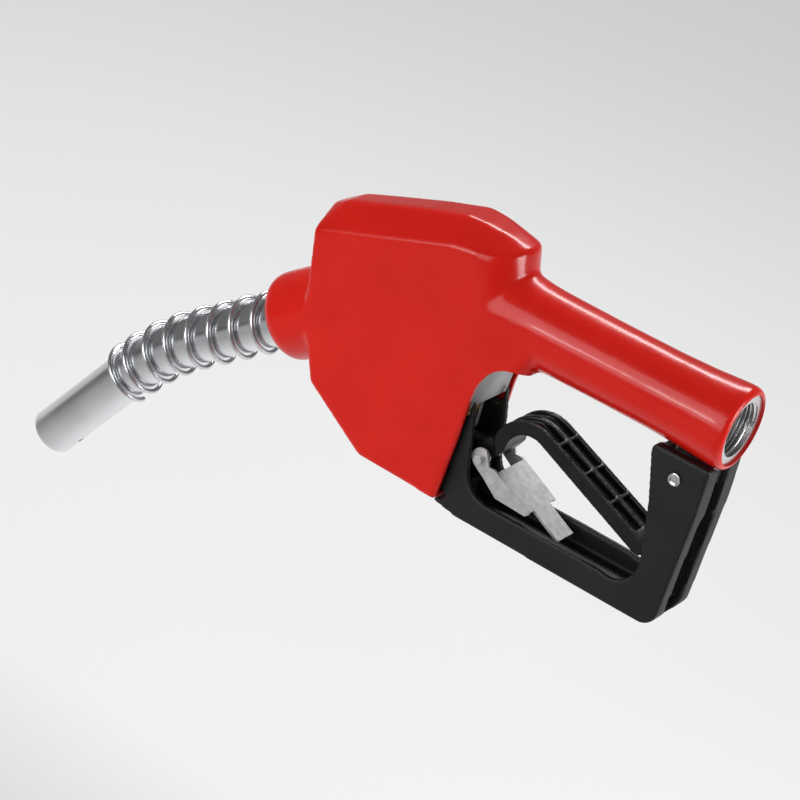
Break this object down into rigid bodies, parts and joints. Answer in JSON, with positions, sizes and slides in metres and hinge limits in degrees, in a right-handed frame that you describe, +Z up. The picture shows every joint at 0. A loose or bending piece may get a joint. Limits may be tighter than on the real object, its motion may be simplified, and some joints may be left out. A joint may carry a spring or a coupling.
{
  "type": "fuel nozzle",
  "caption": "Automatic fuel nozzle: vinyl-covered cast body, bent spout with anti-slip spring, guarded hand lever, hold-open clip and working valves.",
  "frame": {"origin": "centre of the hose inlet thread at the open face of the handle", "axes": "+X along the handle out of the inlet towards the hose, +Y to the nozzle's right side when held pointing away, +Z up with the handle level and the lever beneath it"},
  "size_m": [0.3549, 0.0426, 0.2208],
  "materials": {
    "cast_aluminium": "as-cast, fine grain",
    "polished_aluminium": "drawn and polished",
    "red_vinyl": "glossy dipped vinyl",
    "black_nylon": "fine-grained moulding",
    "black_lever": "smooth moulding",
    "black_rubber": "moulded nitrile",
    "white_packing": "plain fluoropolymer",
    "brass": "turned",
    "steel": "bright drawn",
    "zinc_steel": "zinc plated"
  },
  "bodies": {
    "body": {"valve_body": "cast_aluminium", "scuff_cover": "red_vinyl", "inlet_strainer": "steel", "lever_guard": "black_nylon", "guard_rear_rivet": "zinc_steel", "guard_front_pins": "zinc_steel", "poppet_spring": "steel", "poppet_cap": "cast_aluminium", "poppet_cap_ring": "black_rubber", "stem_packing": "white_packing", "packing_gland": "brass", "spout_tube": "polished_aluminium", "spout_spring": "steel", "spout_nut": "cast_aluminium", "spout_ring": "black_rubber", "spout_screw": "zinc_steel", "vent_tube": "polished_aluminium", "check_seat": "cast_aluminium", "check_spring": "steel", "check_retainer": "cast_aluminium", "diaphragm_cap": "cast_aluminium", "diaphragm_screws": "zinc_steel", "diaphragm": "black_rubber", "diaphragm_spring": "steel", "latch_sleeve": "brass", "latch_retainer": "cast_aluminium", "latch_spring": "steel", "clip_rivets": "zinc_steel", "clip_spring": "steel"},
    "main_valve": {"main_poppet": "brass", "poppet_seal": "black_rubber"},
    "check_valve": {"check_poppet": "brass"},
    "shutoff_pin": {"latch_pin": "steel"},
    "latch": {"latch_plunger": "steel", "latch_balls": "steel", "lever_pin": "zinc_steel"},
    "lever": {"lever": "black_lever"},
    "clip": {"hold_clip": "zinc_steel"}
  },
  "joints": [
    {"name": "latch_drop", "type": "slide", "parent": "body", "child": "latch", "axis": [0.3223, 0, -0.9466], "range_m": [0, 0.0045], "stiffness_N_per_m": 900, "springref_m": -0.012, "deforming": ["latch_spring"]},
    {"name": "lever_squeeze", "type": "hinge", "parent": "latch", "child": "lever", "pos_m": [-0.16, 0, -0.073], "axis": [0, -1, 0], "range_deg": [0, 13], "stiffness_Nm_per_rad": 4, "springref_deg": -5.73},
    {"name": "main_valve_lift", "type": "slide", "parent": "body", "child": "main_valve", "axis": [-0.3223, 0, 0.9466], "range_m": [0, 0.008], "stiffness_N_per_m": 100, "springref_m": -0.004, "deforming": ["poppet_spring"]},
    {"name": "check_valve_open", "type": "slide", "parent": "body", "child": "check_valve", "axis": [-0.8007, 0, -0.599], "range_m": [0, 0.0035], "stiffness_N_per_m": 150, "springref_m": -0.003, "deforming": ["check_spring"]},
    {"name": "shutoff_pin_lift", "type": "slide", "parent": "body", "child": "shutoff_pin", "axis": [-0.3223, 0, 0.9466], "range_m": [0, 0.002], "stiffness_N_per_m": 300, "springref_m": -0.002, "deforming": ["diaphragm_spring", "diaphragm"]},
    {"name": "clip_swing", "type": "hinge", "parent": "body", "child": "clip", "pos_m": [-0.108, 0, -0.067], "axis": [0, -1, 0], "range_deg": [0, 24], "stiffness_Nm_per_rad": 0.05, "springref_deg": -17.19}
  ],
  "couplings": [
    {"joint": "main_valve_lift", "follows": "lever_squeeze", "m_per_rad": 0.0349}
  ]
}
